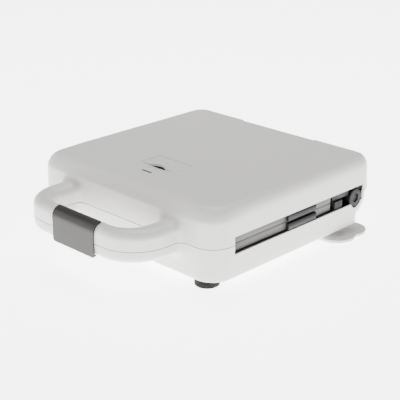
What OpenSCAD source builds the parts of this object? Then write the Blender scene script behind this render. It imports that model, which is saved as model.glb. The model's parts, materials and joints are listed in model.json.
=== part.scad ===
// Clamshell donut maker: two ring-mould plates in a hinged lid and base,
// closed by a latch on a loop handle. Millimetres, +Z up, front towards -Y.
// The part's origin is on the standing surface, under the middle of its box.

/* [Body] */
// Width of the body across its side walls
body_w = 300; // [292:1:308]
// Depth of the body without its handle
body_d = 287; // [280:1:294]
// Height of the split between lid and base
seam_z = 51.7; // [51:0.1:53]
// Height of the lid's highest point
lid_top_z = 97; // [96:0.5:99]
// Height of the base's underside
base_z = 11.3; // [10.5:0.1:12]
// Plan radius of the front corners
front_r = 28; // [24:1:32]
// Plan radius of the rear corners
rear_r = 24; // [23:0.5:26]
// Wall thickness of the lid
lid_wall = 1.8; // [1.6:0.1:2]
// Wall thickness of the base
base_wall = 2.2; // [1.8:0.1:2.6]

/* [Handle and latch] */
// Half width of the handle loop
handle_hx = 100; // [96:1:104]
// Distance of the handle's front face from the body's middle
handle_front = 213.6; // [208:0.5:216]
// Half width of the finger opening
grip_hx = 70.5; // [66:0.5:74]
// Thickness of the handle's front bar
bar_t = 20.1; // [19:0.1:21]
// Width of the latch
latch_w = 71; // [60:1:76]
// Sideways offset of the latch from the middle
latch_x = 4; // [0:0.5:6]

/* [Moulds] */
// Outer diameter of one ring cavity
ring_d = 76; // [70:1:77]
// Diameter of the ring's own dough tube
tube_d = 25; // [22:0.5:26]

/* [Hinge] */
// Distance of the hinge axis behind the body's middle
hinge_y = 108; // [107:0.5:109]
// Height of the hinge axis
hinge_z = 46; // [45.5:0.5:46.5]
// Radius of the hinge pin
pin_r = 3; // [2.5:0.5:3.5]

/* [Hidden] */

white = [0.86, 0.855, 0.84];
black = [0.08, 0.08, 0.08];
charcoal = [0.24, 0.23, 0.22];
steel = [0.72, 0.72, 0.72];
coated = [0.3, 0.29, 0.28];
rubber = [0.05, 0.05, 0.05];

$fn = 48;
eps = 0.01;
fine = 72;

// Plan
hx = body_w / 2;
front_y = -body_d / 2;
rear_y = body_d / 2;
latch_t = 1.6;
latch_gap = 0.45;
bar_y = -handle_front + bar_t / 2;
latch_front = -bar_y + bar_t / 2 + latch_gap + latch_t;
// The frame's origin is midway between the latch's face and the lid's rear
mid_y = (latch_front - rear_y) / 2;

// Heights
rim_gap = 0.4;
base_rim_z = seam_z - rim_gap;
lid_rim_z = seam_z + rim_gap;
gap_low = 10.9;
gap_high = 9.6;
gap_front_y = -110;
gap_rear_y = 120;

// Sweep of the lid's rear wall round the hinge axis
lid_clear = 0.4;
turn_r = rear_y - lid_wall - hinge_y - lid_clear;
turn_corner_r = rear_r - lid_wall - lid_clear;
turn_hx = hx - rear_r;

// Ring moulds
tube_r = tube_d / 2;
ring_r = ring_d / 2 - tube_r;
well_r = tube_r + 2;
ring_pitch_x = 90;
ring_pitch_y = 82;
plate_y = -21;
plate_hx = 145.5;
plate_hy = 86;
skirt_h = 9;
plate_t = 3;
skirt_t = 2.5;
half_gap = 0.3;

// Inner frames, measured down from the seam
deck_top = 0.8;
rail_top = 10.5;
rail_t = 3;
reflector_low = 27.7;
reflector_hx = 133.5;
heater_drop = 18.7;
heater_r = 3.3;

// Hinge
barrel_r = 11.3;
eye_r = 10;
collar_in = 12.3;
collar_out = 19.5;
pin_clear = 0.05;
bracket_x0 = 120.5;
ear_x1 = 126.2;
eye_x0 = 126.5;
eye_x1 = 138.8;
barrel_x0 = 139.2;
barrel_x1 = 147.2;

screw_xy = [
  [-118, -124], [-45, -124], [45, -124], [118, -124],
  [-105, 74], [-45, 74], [45, 74], [105, 74]
];

// ---------- helpers ----------

// Moves a piece from the body's own middle to the part's frame
module in_frame() {
  translate([0, mid_y, 0]) children();
}

// Draws a piece as it is, or as its mirror image on the left
module sided(right) {
  if (right) children();
  else mirror([1, 0, 0]) children();
}

// Turns a piece of the base into its twin above the seam
module above_seam() {
  translate([0, 0, 2 * seam_z]) mirror([0, 0, 1]) children();
}

module box(low, high) {
  translate(low) cube(high - low);
}

module bar_x(x0, x1, y, z, r) {
  translate([x0, y, z]) rotate([0, 90, 0]) cylinder(r = r, h = x1 - x0);
}

module bar_y(y0, y1, x, z, r) {
  translate([x, y0, z]) rotate([-90, 0, 0]) cylinder(r = r, h = y1 - y0);
}

module bar_z(z0, z1, x, y, r) {
  translate([x, y, z0]) cylinder(r = r, h = z1 - z0);
}

function arc(cx, cy, r, a0, a1, n) =
  [for (i = [0:n]) [cx + r * cos(a0 + (a1 - a0) * i / n),
                    cy + r * sin(a0 + (a1 - a0) * i / n)]];

// Outline of the body, inset by s at the sides and rear and by f in front
function plan(s, f, grow = 0) =
  let (rf = max(front_r - 0.7 * (s + f) / 2, 8) - grow,
       rb = max(rear_r - 0.7 * s, 8) - grow,
       x = hx - s - grow, y0 = front_y + f + grow, y1 = rear_y - s - grow)
  concat(
    arc(x - rb, y1 - rb, rb, 0, 90, 8),
    arc(-x + rb, y1 - rb, rb, 90, 180, 8),
    arc(-x + rf, y0 + rf, rf, 180, 270, 8),
    arc(x - rf, y0 + rf, rf, 270, 360, 8));

// Solid through a stack of outlines [z, points], from the lowest up
module loft(rings) {
  n = len(rings[0][1]);
  pts = [for (ring = rings) for (p = ring[1]) [p[0], p[1], ring[0]]];
  sides = [for (i = [0:len(rings) - 2]) for (j = [0:n - 1])
    let (a = i * n + j, b = i * n + (j + 1) % n)
      each [[a, a + n, b + n], [a, b + n, b]]];
  low = [[for (j = [0:n - 1]) j]];
  high = [[for (j = [n - 1:-1:0]) (len(rings) - 1) * n + j]];
  polyhedron(points = pts, faces = concat(sides, low, high), convexity = 6);
}

// Rounded bar through outline pairs: rows are stations, columns go round it
module swept(rows) {
  n = len(rows[0]);
  m = len(rows);
  pts = [for (row = rows) each row];
  sides = [for (i = [0:m - 2]) for (j = [0:n - 1])
    let (a = i * n + j, b = i * n + (j + 1) % n)
      each [[a, b, b + n], [a, b + n, a + n]]];
  first = [[for (j = [n - 1:-1:0]) j]];
  last = [[for (j = [0:n - 1]) (m - 1) * n + j]];
  polyhedron(points = pts, faces = concat(sides, first, last), convexity = 6);
}

// Outline of a slab with round corners
module slab(x0, y0, x1, y1, r, z0, z1) {
  translate([0, 0, z0]) linear_extrude(z1 - z0) {
    difference() {
      translate([x0, y0]) square([x1 - x0, y1 - y0]);
      for (c = [[x0, y0, 1, 1], [x1, y0, -1, 1], [x0, y1, 1, -1], [x1, y1, -1, -1]])
        difference() {
          translate([c[0] - (c[2] < 0 ? r : 0), c[1] - (c[3] < 0 ? r : 0)])
            square(r);
          translate([c[0] + c[2] * r, c[1] + c[3] * r]) circle(r);
        }
    }
  }
}

// ---------- handle ----------

outer_arc_r = 48.3;
inner_arc_r = 24;

// Outer edge of the loop's right half, from the body to the middle
function handle_outer(d) =
  let (cx = handle_hx - outer_arc_r, cy = -handle_front + outer_arc_r)
  concat(
    [[handle_hx + 6 - d, front_y + 3], [handle_hx + 3.6 - d, front_y - 1],
     [handle_hx + 1.4 - d, front_y - 3], [handle_hx + 0.4 - d, front_y - 6],
     [handle_hx - d, front_y - 10]],
    arc(cx, cy, outer_arc_r - d, 0, -90, 10),
    [[0, -handle_front + d]]);

// Inner edge of the same stations
function handle_inner(d) =
  let (cx = grip_hx - inner_arc_r, cy = -handle_front + bar_t + inner_arc_r)
  concat(
    [[grip_hx - 5 + d, front_y + 3], [grip_hx - 3 + d, front_y - 1],
     [grip_hx - 1.2 + d, front_y - 3], [grip_hx - 0.3 + d, front_y - 6],
     [grip_hx + d, front_y - 10]],
    arc(cx, cy, inner_arc_r + d, 0, -90, 10),
    [[0, -handle_front + bar_t - d]]);

// Closed section between an inner and an outer point: straight sides, then
// a half ellipse of height rise that ends d short of the crown
function section(a, b, z_flat, z_side, rise, n) =
  let (c = (a + b) / 2, h = (b - a) / 2)
  concat(
    [[a[0], a[1], z_flat]],
    [for (i = [0:n]) let (t = 180 - 180 * i / n)
      [c[0] + h[0] * cos(t), c[1] + h[1] * cos(t), z_side + rise * sin(t)]],
    [[b[0], b[1], z_flat]]);

// Half of the handle, thinned by d on every outer face
module handle_half(z_flat, z_side, rise, d) {
  a = handle_inner(d);
  b = handle_outer(d);
  rows = [for (i = [0:len(a) - 1]) section(a[i], b[i], z_flat, z_side, rise, 12)];
  mirrored = [for (i = [len(a) - 2:-1:0])
    [for (p = rows[i]) [-p[0], p[1], p[2]]]];
  all = concat(rows, mirrored);
  if (rise > 0) swept(all);
  else swept([for (row = all) [for (j = [len(row) - 1:-1:0]) row[j]]]);
}

upper_side_z = 63.8;
upper_rise = 10.1;
lower_side_z = 44;
lower_rise = 8;

module upper_handle_bar(d, drop) {
  handle_half(lid_rim_z - drop, upper_side_z, upper_rise - d, d);
}

module lower_handle_bar(d, drop) {
  handle_half(base_rim_z + drop, lower_side_z, -lower_rise + d, d);
}

pivot_y = bar_y;
pivot_z = upper_side_z;

// ---------- shells ----------

// Stack of insets for the lid: height, side and rear inset, front inset
lid_steps = [
  [80, 1.0, 0.5], [82.4, 1.3, 1.2], [84.5, 1.7, 2.8], [87, 2.5, 5.1],
  [89.5, 3.8, 7.6], [91.6, 5.4, 9.8], [93.4, 7.6, 12.0], [94.7, 10.2, 14.4],
  [95.5, 14, 18], [96.0, 22, 25], [96.6, 42, 44], [97, 75, 75]
];
crown = lid_top_z - 97;

module lid_solid(grow, z0) {
  loft(concat(
    [[z0, plan(0, 0, grow)]],
    [for (s = lid_steps) [s[0] + crown - grow, plan(s[1], s[2], grow)]]));
}

base_steps = [[base_z, 4.2, 4.2], [base_z + 0.8, 2.7, 2.7], [base_z + 2.6, 1.9, 1.9], [30, 0.8, 0.6]];

module base_block(grow, z1) {
  loft(concat(
    [for (s = base_steps) [s[0] + grow, plan(s[1], s[2], grow)]],
    [[z1, plan(0, 0, grow)]]));
}

// Section of the turned rear end, as a profile round the hinge axis
function turned(grow) =
  let (r = turn_corner_r - grow, c = turn_r - turn_corner_r)
  concat([[0, -(turn_hx + r)]], arc(c, -turn_hx, r, -90, 0, 10),
         arc(c, turn_hx, r, 0, 90, 10), [[0, turn_hx + r]]);

heel_y = hinge_y + 3;
heel_z = 34;

// Everything the rear of the base may fill without meeting the lid's sweep
module rear_envelope(grow) {
  box([-hx - 5, front_y - 5, -1], [hx + 5, hinge_y - grow, 60]);
  translate([0, hinge_y, hinge_z]) rotate([0, 90, 0])
    rotate_extrude($fn = 120) polygon(turned(grow));
  // Heel under the barrel, short of the open lid's rim
  hull() {
    box([-hx - 1 + grow, hinge_y - 4, base_z - 6 + grow],
        [hx + 1 - grow, hinge_y - 3.9, heel_z - grow]);
    box([-hx + 1.5 + grow, heel_y - 0.1 - grow, base_z + 1 + grow],
        [hx - 1.5 - grow, heel_y - grow, heel_z - grow]);
  }
}

module base_outer(grow, z1) {
  intersection() {
    base_block(grow, z1);
    rear_envelope(grow);
  }
}

module tapered_post(x, y, z0, z1, r0, r1) {
  hull() {
    translate([x, y, z0]) cylinder(r = r0, h = 0.1, $fn = 20);
    translate([x, y, z1 - 0.1]) cylinder(r = r1, h = 0.1, $fn = 20);
  }
}

gland_y0 = 82;
gland_y1 = 100;
gland_z = 6.6;
gland_bore = 3.6;
floor_top = base_z + base_wall;

module base_shell() {
  color(white) in_frame() difference() {
    union() {
      difference() {
        base_outer(0, base_rim_z);
        base_outer(base_wall, base_rim_z + 1);
      }
      difference() {
        lower_handle_bar(0, 0);
        lower_handle_bar(2.2, 1);
        box([-hx, front_y + 1, 0], [hx, front_y + 9, 60]);
      }
      // Collars that the frame's screws pull down on
      for (p = screw_xy) tapered_post(p[0], p[1], base_z + 1, floor_top + 1.5, 6.5, 5.6);
      // Cord outlet boss under the rear edge
      box([-8.5, gland_y0 + 2, 0.6], [8.5, gland_y1 - 2, base_z + 1]);
    }
    for (p = screw_xy) {
      bar_z(base_z - 1, base_z + 2.1, p[0], p[1], 3.8, $fn = 24);
      bar_z(base_z, floor_top + 3, p[0], p[1], 1.8, $fn = 20);
    }
    // Side cut-outs in front of the plates, and the notches for the hinge
    for (right = [true, false]) sided(right) {
      box([hx - 12, gap_front_y, seam_z - gap_low], [hx + 2, gap_rear_y + 2, 60]);
      bar_x(hx - 12, hx + 2, hinge_y, hinge_z, barrel_r + 0.9, $fn = 64);
    }
    bar_y(gland_y0, gland_y1, 0, gland_z, 4.7, $fn = 40);
    bar_y(gland_y1 - 2, gland_y1 + 6, 0, gland_z, 6, $fn = 40);
    box([-4.5, gland_y0 - 6, 8], [4.5, gland_y0 + 5, 15]);
    // Cooling slots in the floor
    for (row = [-1, 0, 1]) for (i = [-5:5])
      box([i * 15 - 1.5, row * 46 - 40, base_z - 1], [i * 15 + 1.5, row * 46 - 14, floor_top + 1]);
  }
}

cover_y0 = -81.4;
cover_y1 = -51;
cover_hx = 28.6;
slit_y = -99.8;

module lid_shell() {
  color(white) in_frame() difference() {
    union() {
      difference() {
        lid_solid(0, lid_rim_z);
        lid_solid(lid_wall, lid_rim_z - 1);
      }
      difference() {
        upper_handle_bar(0, 0);
        upper_handle_bar(2.2, 1);
        box([-hx, front_y + lid_wall - 0.8, 0], [hx, front_y + 9, 90]);
      }
      intersection() {
        union() {
          for (p = screw_xy) tapered_post(p[0], p[1], 2 * seam_z - 38.2 + 0.2, 98, 4.2, 5.4);
          for (x = [-135, 135]) tapered_post(x, 80, 66.4, 98, 4.2, 5);
        }
        lid_solid(0.5, lid_rim_z);
      }
      // Tray that carries the lamps' cover
      box([-cover_hx - 2, cover_y0 - 6, 91], [cover_hx + 2, cover_y1 + 2, 95.7]);
    }
    for (p = screw_xy) bar_z(60, 78, p[0], p[1], 1.6, $fn = 20);
    for (x = [-135, 135]) bar_z(60, 78, x, 80, 1.6, $fn = 20);
    for (right = [true, false]) sided(right)
      box([hx - 12, gap_front_y, 40], [hx + 2, gap_rear_y, seam_z + gap_high]);
    // Seat of the lamps' cover, its window and the slit in front
    translate([0, 0, 93.2]) linear_extrude(6) cover_outline(0.3);
    box([-16, cover_y0 - 1, 80], [16, cover_y0 + 9, 99]);
    box([-8.4, slit_y - 1.3, 80], [8.4, slit_y + 1.3, 99]);
    latch_slots();
  }
}

// Panel outline: straight back and sides, front edge hollowed in a shallow arc
module cover_outline(grow) {
  difference() {
    translate([-cover_hx - grow, cover_y0 - grow])
      square([2 * (cover_hx + grow), cover_y1 - cover_y0 + 2 * grow]);
    translate([-2, cover_y0 - 18.5]) circle(26 - grow, $fn = 64);
  }
}

lug_w = 4;
lug_x = [latch_x - 22, latch_x + 22];

// Slots through the bar's front for the latch's two lugs
module latch_slots() {
  for (x = lug_x)
    box([x - lug_w / 2 - 0.5, -handle_front - 1, 40], [x + lug_w / 2 + 0.5, pivot_y + 5.5, pivot_z + 7]);
}

// ---------- inner frames ----------

module front_plan(grow) {
  slab(-hx + grow, front_y + grow, hx - grow, 200, front_r - grow, 0, 120);
}

// Black inner frame under the seam: rail round the plate, decks before and behind
module frame_half(for_lid) {
  rail_z = seam_z - rail_top;
  deck_z = seam_z - deck_top;
  wall = (for_lid ? lid_wall : base_wall) + 0.6;
  rear = 82;
  difference() {
    union() {
      box([-hx + wall, front_y + wall, rail_z - rail_t], [hx - wall, rear, rail_z]);
      box([-hx + wall, front_y + wall, rail_z - 0.1], [hx - wall, gap_front_y + 0.5, deck_z]);
      box([-hx + wall, 67.5, rail_z - 0.1], [hx - wall, rear, deck_z]);
      if (!for_lid) box([-117, rear - 1, deck_z - 2], [117, 137.5, deck_z]);
    }
    // Hollow of the decks
    box([-hx + wall + 2.2, front_y + wall + 2.2, rail_z - rail_t - 1],
        [hx - wall - 2.2, gap_front_y - 1.7, deck_z - 2.2]);
    box([-hx + wall + 2.2, 69.7, rail_z - rail_t - 1], [hx - wall - 2.2, rear - 2.2, deck_z - 2.2]);
    // Well for the moulds and the pan under them
    box([-134, -105, 0], [134, 63, 90]);
  }
}

module base_frame() {
  color(black) in_frame() difference() {
    union() {
      intersection() {
        frame_half(false);
        front_plan(base_wall + 0.6);
      }
      for (p = screw_xy) bar_z(floor_top + 1.6, seam_z - deck_top - 1, p[0], p[1], 4);
    }
    for (p = screw_xy) bar_z(0, 34, p[0], p[1], 1.35);
    clip_slot();
  }
}

module lid_frame() {
  color(black) in_frame() above_seam() difference() {
    union() {
      intersection() {
        frame_half(true);
        front_plan(lid_wall + 0.6);
      }
      for (p = screw_xy) bar_z(38.2, seam_z - deck_top - 1, p[0], p[1], 4.6);
    }
    for (p = screw_xy) {
      bar_z(0, 60, p[0], p[1], 1.6);
      bar_z(41.2, 60, p[0], p[1], 3.6);
    }
    for (right = [true, false]) sided(right)
      box([125, 64.6, 0], [hx, 90, 60]);
    clip_slot();
  }
}

// Opening in the right rail for a release clip's foot
module clip_slot() {
  box([139.9, -10, 30], [143.6, 14.4, 45]);
}

// ---------- plates ----------

module ring_places() {
  for (i = [-1, 0, 1]) for (j = [-0.5, 0.5])
    translate([i * ring_pitch_x, plate_y + j * ring_pitch_y, 0]) children();
}

// Mould plate with its face at z = 0 and its ring cavities below
module mould_plate() {
  y0 = plate_y - plate_hy;
  y1 = plate_y + plate_hy;
  difference() {
    union() {
      slab(-plate_hx, y0, plate_hx, y1, 6, -plate_t, 0);
      difference() {
        slab(-plate_hx, y0, plate_hx, y1, 6, -skirt_h, 0);
        slab(-plate_hx + skirt_t, y0 + skirt_t, plate_hx - skirt_t, y1 - skirt_t, 3.5,
             -skirt_h - 1, -1);
      }
      ring_places() rotate_extrude($fn = fine) intersection() {
        translate([ring_r, 0]) circle(well_r, $fn = fine);
        translate([0, -well_r - 1]) square([2 * ring_r + well_r, well_r]);
      }
    }
    ring_places() rotate_extrude($fn = fine)
      translate([ring_r, 0]) circle(tube_r, $fn = fine);
    // Windows for the fixed hooks on the left
    for (y = hook_y)
      box([-plate_hx - 1, y - 6.5, -7], [-plate_hx + skirt_t + 0.5, y + 6.5, -3.6]);
    // Bayonet notch for the release clip on the right
    box([plate_hx - skirt_t - 0.5, 2.4, -7], [plate_hx + 1, 8.6, -3.3]);
    box([plate_hx - skirt_t - 0.5, -4.6, -skirt_h - 1], [plate_hx + 1, 2.5, -3.3]);
  }
}

hook_y = [-64, 22];

module lower_plate() {
  color(coated) in_frame() translate([0, 0, seam_z - half_gap]) mould_plate();
}

module upper_plate() {
  color(coated) in_frame() above_seam() translate([0, 0, seam_z - half_gap]) mould_plate();
}

// Fixed hooks: posts on the left rail whose noses reach out into the plate's windows
module plate_hooks() {
  rail_z = seam_z - rail_top;
  for (y = hook_y) {
    box([-142.6, y - 5.5, rail_z + 0.05], [-139.5, y + 5.5, seam_z - half_gap - 4.2]);
    box([-145.2, y - 5.5, seam_z - half_gap - 6.6], [-142.5, y + 5.5, seam_z - half_gap - 4.2]);
    box([-142.6, y - 5.5, rail_z + 0.05], [-135, y + 5.5, rail_z + 1.2]);
  }
}

module lower_plate_hooks() {
  color(steel) in_frame() plate_hooks();
}

module upper_plate_hooks() {
  color(steel) in_frame() above_seam() plate_hooks();
}

// ---------- heating ----------

reflector_y0 = -104.5;
reflector_y1 = 62.5;

module reflector_pan() {
  z0 = seam_z - reflector_low;
  z1 = seam_z - rail_top - rail_t - 0.1;
  difference() {
    union() {
      slab(-reflector_hx, reflector_y0, reflector_hx, reflector_y1, 8, z0, z1);
      slab(-137, reflector_y0 - 3, 137, reflector_y1 + 3, 10, z1 - 0.8, z1);
    }
    slab(-reflector_hx + 0.8, reflector_y0 + 0.8, reflector_hx - 0.8, reflector_y1 - 0.8, 7.2,
         z0 + 0.8, z1 + 1);
    for (j = [-0.5, 0.5])
      bar_x(-hx, -120, plate_y + j * ring_pitch_y, seam_z - heater_drop, 4.2);
    bar_z(z0 - 1, z0 + 2, 60, plate_y, 3);
  }
}

module lower_reflector() {
  color(steel) in_frame() reflector_pan();
}

module upper_reflector() {
  color(steel) in_frame() above_seam() reflector_pan();
}

// Sheathed element: two straight runs under the rings and a bend on the right
module heater_tube() {
  z = seam_z - heater_drop;
  bend = ring_pitch_y / 2;
  for (j = [-1, 1]) {
    bar_x(-131, 84, plate_y + j * bend, z, heater_r);
    bar_x(-139, -130.9, plate_y + j * bend, z, 2.2);
  }
  translate([84, plate_y, z]) rotate([0, 0, -90]) rotate_extrude(angle = 180, $fn = fine)
    translate([bend, 0]) circle(heater_r);
}

module lower_heater() {
  color(charcoal) in_frame() heater_tube();
}

module upper_heater() {
  color(charcoal) in_frame() above_seam() heater_tube();
}

// Saddles that hold the element on the pan's floor, between the wells
module heater_saddles() {
  z = seam_z - heater_drop;
  z0 = seam_z - reflector_low + 0.85;
  for (x = [-45, 45]) for (j = [-0.5, 0.5])
    translate([x, plate_y + j * ring_pitch_y, 0]) difference() {
      box([-3, -6.5, z0], [3, 6.5, z + 5]);
      bar_x(-4, 4, 0, z, heater_r + 0.05);
      box([-4, -7, z0 + 1], [4, -5.2, z + 6]);
      box([-4, 5.2, z0 + 1], [4, 7, z + 6]);
    }
}

module lower_heater_clamps() {
  color(steel) in_frame() heater_saddles();
}

module upper_heater_clamps() {
  color(steel) in_frame() above_seam() heater_saddles();
}

// Snap-disc thermostat on a post, its cap just under the plate
module thermostat() {
  z0 = seam_z - reflector_low + 0.85;
  top = seam_z - half_gap - plate_t - 0.3;
  translate([45, plate_y, 0]) {
    bar_z(z0, top - 9, 0, 0, 3);
    bar_z(top - 10, top - 2, 0, 0, 8);
    bar_z(top - 2.1, top, 0, 0, 6);
    for (s = [-1, 1]) box([s * 10 - 3, -3, top - 8], [s * 10 + 3, 3, top - 7.2]);
  }
}

module lower_thermostat() {
  color(black) in_frame() thermostat();
}

module upper_thermostat() {
  color(black) in_frame() above_seam() thermostat();
}

module thermal_fuse() {
  z = seam_z - reflector_low + 3.4;
  color([0.85, 0.8, 0.7]) in_frame() {
    bar_x(-54, -36, plate_y, z, 2.2);
    bar_x(-60, -30, plate_y, z, 0.8);
    difference() {
      box([-48, plate_y - 3.4, z - 2.5], [-42, plate_y + 3.4, z + 3.2]);
      bar_x(-49, -41, plate_y, z, 2.25);
    }
  }
}

// ---------- base fittings ----------

module terminal_block() {
  color([0.88, 0.86, 0.8]) in_frame() difference() {
    union() {
      box([-16, 90, floor_top + 0.05], [16, 102, floor_top + 3]);
      for (i = [-1, 0, 1]) box([i * 10 - 4, 90, floor_top + 2.9], [i * 10 + 4, 102, floor_top + 13]);
    }
    for (i = [-1, 0, 1]) {
      bar_y(89, 103, i * 10, floor_top + 6.5, 1.8);
      bar_z(floor_top + 8, floor_top + 14, i * 10, 96, 1.9);
    }
  }
}

module cord_gland() {
  color(rubber) in_frame() difference() {
    union() {
      bar_y(gland_y0 + 1, gland_y1, 0, gland_z, 4.6);
      bar_y(gland_y1 - 1.9, gland_y1, 0, gland_z, 5.8);
    }
    bar_y(gland_y0, gland_y1 + 1, 0, gland_z, gland_bore);
  }
}

function unit(v) = v / norm(v);

// Eight points round p, square to the direction t
function wire_ring(p, t, r) =
  let (a = unit(cross(t, [0, 0, 1])), b = cross(a, t))
  [for (i = [0:7]) p + r * (cos(45 * i) * a + sin(45 * i) * b)];

// Insulated wire through a few points, mitred at each bend
module wire(points, r) {
  n = len(points) - 1;
  swept([for (i = [0:n])
    wire_ring(points[i], unit(points[min(i + 1, n)] - points[max(i - 1, 0)]), r)]);
}

module base_wires() {
  z = seam_z - heater_drop;
  color([0.75, 0.73, 0.68]) in_frame() {
    wire([[-140.4, plate_y - 41, z], [-143, plate_y - 30, z - 3], [-143, 66, z - 4],
          [-108, 86, 20], [-24, 86, 20], [-10, 89, 20]], 1.3);
    wire([[-140.4, plate_y + 41, z], [-140, 60, z - 8], [-106, 82, 25], [-14, 82, 25],
          [0, 89, 20]], 1.3);
  }
}

module base_screws() {
  color(steel) in_frame() for (p = screw_xy) {
    bar_z(base_z + 0.1, base_z + 2, p[0], p[1], 3.4);
    bar_z(base_z + 1.9, 33, p[0], p[1], 1.3);
  }
}

module lid_screws() {
  color(steel) in_frame() {
    for (p = screw_xy) {
      bar_z(60, 62.1, p[0], p[1], 3.3);
      bar_z(62, 76, p[0], p[1], 1.3);
    }
    for (x = [-135, 135]) {
      bar_z(62.4, 64.4, x, 80, 3.3);
      bar_z(64.3, 76, x, 80, 1.3);
    }
  }
}

foot_x = 119.6;
foot_y = -121.8;
foot_r = 14.5;

module front_foot(right) {
  color(rubber) in_frame() sided(right) {
    translate([foot_x, foot_y, 0]) rotate_extrude($fn = 64) polygon(concat(
      [[0, 0]], arc(foot_r - 2, 2, 2, -90, 0, 4), [[foot_r, base_z - 0.1], [0, base_z - 0.1]]));
  }
}

hook_disc_x = 138.5;
hook_disc_y = 82.6;
hook_disc_r = 25;
hook_tab_x = 140.4;
hook_tab_y = 106.4;
hook_tab_r = 21.5;
hook_z0 = 1.2;
hook_z1 = 4.8;

// Cord wrap under a rear corner: a broad flange with a tab, on a post
module cord_hook(right) {
  color(white) in_frame() sided(right) {
    bar_z(hook_z0, hook_z1, hook_disc_x, hook_disc_y, hook_disc_r, $fn = 96);
    bar_z(hook_z0, hook_z1, hook_tab_x, hook_tab_y, hook_tab_r, $fn = 64);
    bar_z(hook_z1 - 0.1, base_z - 0.05, 116, 80, 22, $fn = 64);
    bar_z(hook_z0, hook_z1, 116, 82, 27, $fn = 64);
  }
}

module rear_pad(right) {
  color(rubber) in_frame() sided(right) bar_z(0, hook_z0, 130, 98, 12, $fn = 64);
}

// ---------- hinge ----------

// Base side: outer barrel, inner ear, and the bridge and foot under the arm's eye
module hinge_bracket(right) {
  color(black) in_frame() sided(right) difference() {
    union() {
      bar_x(barrel_x0, barrel_x1, hinge_y, hinge_z, barrel_r, $fn = 64);
      bar_x(bracket_x0, ear_x1, hinge_y, hinge_z, 9.5);
      box([bracket_x0, 98.5, 30.5], [ear_x1, 108, hinge_z]);
      box([bracket_x0, 97, 32.5], [145, 108, 37.5]);
      box([bracket_x0, 97, 16.6], [131, 107, 33]);
    }
    bar_x(ear_x1, barrel_x0, hinge_y, hinge_z, eye_r + 0.8);
    bar_x(bracket_x0 - 1, barrel_x1 - 3, hinge_y, hinge_z, pin_r);
    // Hex recess in the barrel's end
    translate([barrel_x1 - 1.6, hinge_y, hinge_z]) rotate([0, 90, 0]) cylinder(r = 6.5, h = 3, $fn = 6);
  }
}

module hinge_pin(right) {
  color(steel) in_frame() sided(right)
    bar_x(bracket_x0 + 0.5, barrel_x1 - 3.2, hinge_y, hinge_z, pin_r);
}

// Lid side: eye on the pin, web up to the box under the lid, collar round the barrel
module hinge_arm(right) {
  color(black) in_frame() sided(right) difference() {
    union() {
      bar_x(eye_x0, eye_x1, hinge_y, hinge_z, eye_r, $fn = 64);
      translate([eye_x0, 0, 0]) rotate([90, 0, 90]) linear_extrude(eye_x1 - eye_x0)
        polygon([[94, 54], [99.5, 43], [104, 37.5], [110, 54], [100.5, 62], [94, 66]]);
      box([eye_x0, 65, lid_rim_z + 0.2], [145.2, 96.5, 66]);
      difference() {
        bar_x(barrel_x0 + 0.2, 143.5, hinge_y, hinge_z, collar_out, $fn = 72);
        bar_x(barrel_x0, 145, hinge_y, hinge_z, collar_in, $fn = 72);
        box([138, 80, 20], [148, 140, hinge_z + 6.5]);
        translate([138, hinge_y, hinge_z]) rotate([25, 0, 0]) box([0, 0, -20], [8, 30, 0]);
      }
      box([eye_x1 - 1, 86, 60.5], [143.5, 108, 64]);
    }
    bar_x(eye_x0 - 1, eye_x1 + 0.5, hinge_y, hinge_z, pin_r + pin_clear);
    bar_x(eye_x1 + 0.05, 146, hinge_y, hinge_z, collar_in, $fn = 72);
    bar_z(50, 70, 135, 80, 1.6);
    bar_z(50, 64.4, 135, 80, 3.6);
  }
}

// ---------- lamps ----------

module indicator_cover() {
  color([0.9, 0.895, 0.88]) in_frame() difference() {
    translate([0, 0, 93.4]) linear_extrude(3.1) cover_outline(0);
    box([-14, cover_y0 + 1, 90], [14, cover_y0 + 10, 95]);
  }
}

module window_lens() {
  color([0.25, 0.22, 0.2]) in_frame()
    box([-13.7, cover_y0 + 1.4, 92], [13.7, cover_y0 + 8.7, 94.8]);
}

module slit_lens() {
  color([0.2, 0.18, 0.16]) in_frame() {
    box([-8.1, slit_y - 1.1, 90.5], [8.1, slit_y + 1.1, 96.4]);
    box([-10, slit_y - 2.5, 89.5], [10, slit_y + 2.5, 90.6]);
  }
}

board_z = 81.5;

module lamp_board() {
  color([0.15, 0.35, 0.2]) in_frame() {
    box([-22, -108, board_z], [22, -64, board_z + 1.6]);
    for (x = [-16, 16]) bar_z(board_z + 1.5, 90.9, x, -84, 2);
  }
}

module lamp(y) {
  color([0.9, 0.5, 0.3]) in_frame() {
    bar_z(board_z + 1.65, board_z + 5, 0, y, 2.5);
    translate([0, y, board_z + 5]) sphere(2.5);
  }
}

module lid_wires() {
  z = seam_z + heater_drop;
  color([0.75, 0.73, 0.68]) in_frame() {
    wire([[-140.4, plate_y - 41, z], [-143.5, plate_y - 30, z + 3], [-143.5, 56, z + 5],
          [-112, 92, 83]], 1.3);
    wire([[-140.4, plate_y + 41, z], [-138.6, 56, z + 5.5], [-107, 88, 83]], 1.3);
  }
}

// ---------- handle fittings and latch ----------

module lower_handle_insert() {
  color(white) in_frame() intersection() {
    difference() {
      lower_handle_bar(2.5, -0.3);
      box([-200, -300, 0], [200, 0, base_rim_z - 3]);
    }
    box([-200, -300, 0], [200, front_y - 1, 100]);
  }
}

pin_half = 30;
latch_pin_r = 2;

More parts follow.
